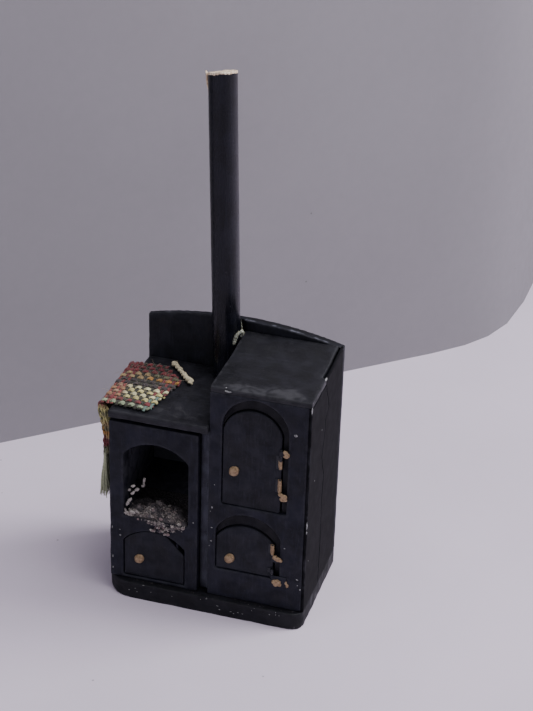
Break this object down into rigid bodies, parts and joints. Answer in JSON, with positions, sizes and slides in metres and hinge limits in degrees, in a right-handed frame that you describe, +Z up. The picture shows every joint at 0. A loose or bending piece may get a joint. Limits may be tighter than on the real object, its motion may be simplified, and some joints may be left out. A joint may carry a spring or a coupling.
{
  "type": "miniature kitchen range",
  "caption": "Hand-made dolls' house kitchen range: arched firebox with ash door, hinged arched oven doors, round flue and a woven cloth draped over the hob.",
  "frame": {"origin": "centre of the base board's underside, which rests on the floor", "axes": "+Z up along the flue, -Y out of the front where the doors are, +X to the right towards the ovens"},
  "size_m": [0.0638, 0.0378, 0.158],
  "materials": {
    "body_paint": "matt blue-black paint brushed over wood",
    "top_paint": "matt blue-black paint, rubbed grey on top",
    "side_skin": "matt blue-black paint over card, rubbed grey",
    "flue_paint": "gloss blue-black paint over a raw wooden dowel",
    "dried_glue": "dried cream glue",
    "ash": "fluffy grey-pink ash",
    "door_paint": "matt blue-black paint brushed over wood",
    "brass_trim": "dull gold, hand-made",
    "pin_steel": "plain wire",
    "woven_fabric": "coarse striped hand weaving",
    "fringe_yarn": "loose sage green yarn",
    "cream_yarn": "knobbly cream yarn"
  },
  "bodies": {
    "root": {"base_board": "body_paint", "back_board": "body_paint", "left_side_panel": "body_paint", "firebox_front_panel": "body_paint", "firebox_cheek": "body_paint", "hob_rail": "body_paint", "fire_deck": "body_paint", "divider_panel": "body_paint", "right_side_panel": "body_paint", "oven_front_panel": "body_paint", "oven_shelf": "body_paint", "oven_floor": "body_paint", "hob_board": "top_paint", "oven_top_board": "top_paint", "front_side_skin": "side_skin", "rear_side_skin": "side_skin", "flue_dowel": "flue_paint", "glue_beads": "dried_glue", "ash_heap": "ash", "ash_spill": "ash", "ash_flakes": "ash", "upper_frame_leaves": "brass_trim", "lower_frame_leaves": "brass_trim", "upper_hinge_pins": "pin_steel", "lower_hinge_pins": "pin_steel", "ash_pivot_pins": "pin_steel", "woven_cloth": "woven_fabric", "cloth_fringe": "fringe_yarn", "selvedge_yarn": "cream_yarn"},
    "upper_door": {"upper_oven_door": "door_paint", "upper_door_knob": "brass_trim", "upper_door_barrels": "brass_trim"},
    "lower_door": {"lower_oven_door": "door_paint", "lower_door_knob": "brass_trim", "lower_door_barrels": "brass_trim"},
    "ash_door_leaf": {"ash_door": "door_paint", "ash_door_knob": "brass_trim"}
  },
  "joints": [
    {"name": "upper_door_hinge", "type": "hinge", "parent": "root", "child": "upper_door", "pos_m": [0.02215, -0.01655, 0.054], "axis": [0, 0, 1], "range_deg": [0, 110]},
    {"name": "lower_door_hinge", "type": "hinge", "parent": "root", "child": "lower_door", "pos_m": [0.0207, -0.01655, 0.024], "axis": [0, 0, 1], "range_deg": [0, 110]},
    {"name": "ash_door_pivot", "type": "hinge", "parent": "root", "child": "ash_door_leaf", "pos_m": [-0.0085, -0.01595, 0.014], "axis": [0, 0, 1], "range_deg": [0, 90]}
  ]
}
